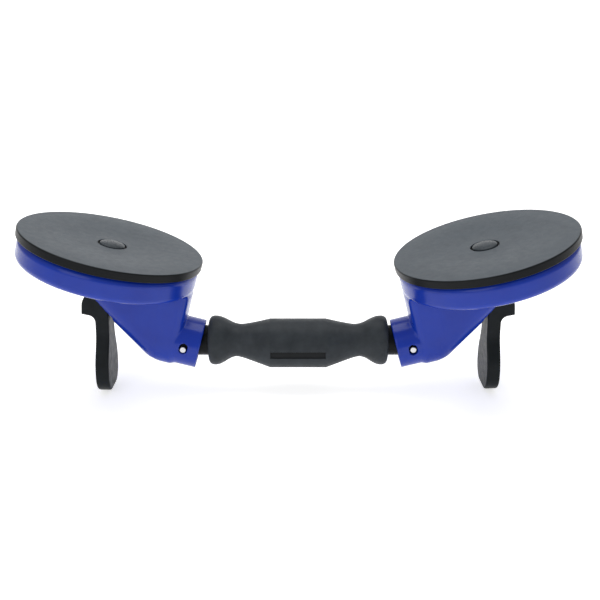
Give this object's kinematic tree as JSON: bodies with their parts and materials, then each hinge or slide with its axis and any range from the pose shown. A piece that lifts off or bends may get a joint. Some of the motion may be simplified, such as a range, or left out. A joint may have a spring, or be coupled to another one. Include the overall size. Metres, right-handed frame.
{
  "type": "two-cup suction lifter",
  "caption": "Hand grip with a swivelling suction head on each end; cam levers pull the rubber pads down to hold glass or tiles.",
  "frame": {"origin": "the middle of the grip, on its axis", "axes": "+X along the grip, +Z towards the faces of the suction pads, +Y across the grip along the cross pins"},
  "size_m": [0.3652, 0.1232, 0.1207],
  "materials": {
    "grip_rubber": "satin, finely grained",
    "steel": "bright zinc",
    "spigot_black": "satin black",
    "blue_paint": "gloss powder coat",
    "bronze": "sintered",
    "spring_steel": "bright",
    "pad_rubber": "satin",
    "button_rubber": "satin",
    "lever_plastic": "fine spark-eroded grain"
  },
  "bodies": {
    "handle": {"grip": "grip_rubber", "core_tube": "steel", "spigot_pins": "steel", "ball_spigot_left": "spigot_black", "ball_spigot_right": "spigot_black"},
    "pin_left": {"cross_pin_left": "steel"},
    "head_left": {"head_casting_left": "blue_paint", "guide_bush_left": "bronze", "wear_plate_left": "steel", "return_spring_left": "spring_steel", "rubber_pad_left": "pad_rubber"},
    "plunger_left": {"pull_plate_left": "steel", "pull_stud_left": "steel", "pad_button_left": "button_rubber"},
    "lever_left": {"cam_lever_left": "lever_plastic", "lever_pin_left": "steel"},
    "pin_right": {"cross_pin_right": "steel"},
    "head_right": {"head_casting_right": "blue_paint", "guide_bush_right": "bronze", "wear_plate_right": "steel", "return_spring_right": "spring_steel", "rubber_pad_right": "pad_rubber"},
    "plunger_right": {"pull_plate_right": "steel", "pull_stud_right": "steel", "pad_button_right": "button_rubber"},
    "lever_right": {"cam_lever_right": "lever_plastic", "lever_pin_right": "steel"}
  },
  "joints": [
    {"name": "tilt_left", "type": "hinge", "parent": "handle", "child": "pin_left", "pos_m": [-0.0768, 0, 0], "axis": [0, -1, 0], "range_deg": [0, 30]},
    {"name": "roll_left", "type": "hinge", "parent": "pin_left", "child": "head_left", "pos_m": [-0.0768, 0, 0], "axis": [0.9659, 0, -0.2588], "range_deg": [-1.6, 8.4]},
    {"name": "plunger_slide_left", "type": "slide", "parent": "head_left", "child": "plunger_left", "axis": [-0.2584, -0.0593, -0.9642], "range_m": [0, 0.004], "deforming": ["return_spring_left", "rubber_pad_left"]},
    {"name": "lever_turn_left", "type": "hinge", "parent": "plunger_left", "child": "lever_left", "pos_m": [-0.1321, 0.00083, 0.02929], "axis": [-0.0153, 0.9982, -0.0573], "range_deg": [0, 100]},
    {"name": "tilt_right", "type": "hinge", "parent": "handle", "child": "pin_right", "pos_m": [0.0768, 0, 0], "axis": [0, 1, 0], "range_deg": [0, 30]},
    {"name": "roll_right", "type": "hinge", "parent": "pin_right", "child": "head_right", "pos_m": [0.0768, 0, 0], "axis": [0.9659, 0, 0.2588], "range_deg": [-5, 5]},
    {"name": "plunger_slide_right", "type": "slide", "parent": "head_right", "child": "plunger_right", "axis": [0.2588, 0, -0.9659], "range_m": [0, 0.004], "deforming": ["return_spring_right", "rubber_pad_right"]},
    {"name": "lever_turn_right", "type": "hinge", "parent": "plunger_right", "child": "lever_right", "pos_m": [0.1321, 0, 0.02931], "axis": [0, -1, 0], "range_deg": [0, 100]}
  ],
  "couplings": [
    {"joint": "lever_turn_left", "follows": "plunger_slide_left", "rad_per_m": 436.3},
    {"joint": "lever_turn_right", "follows": "plunger_slide_right", "rad_per_m": 436.3}
  ]
}
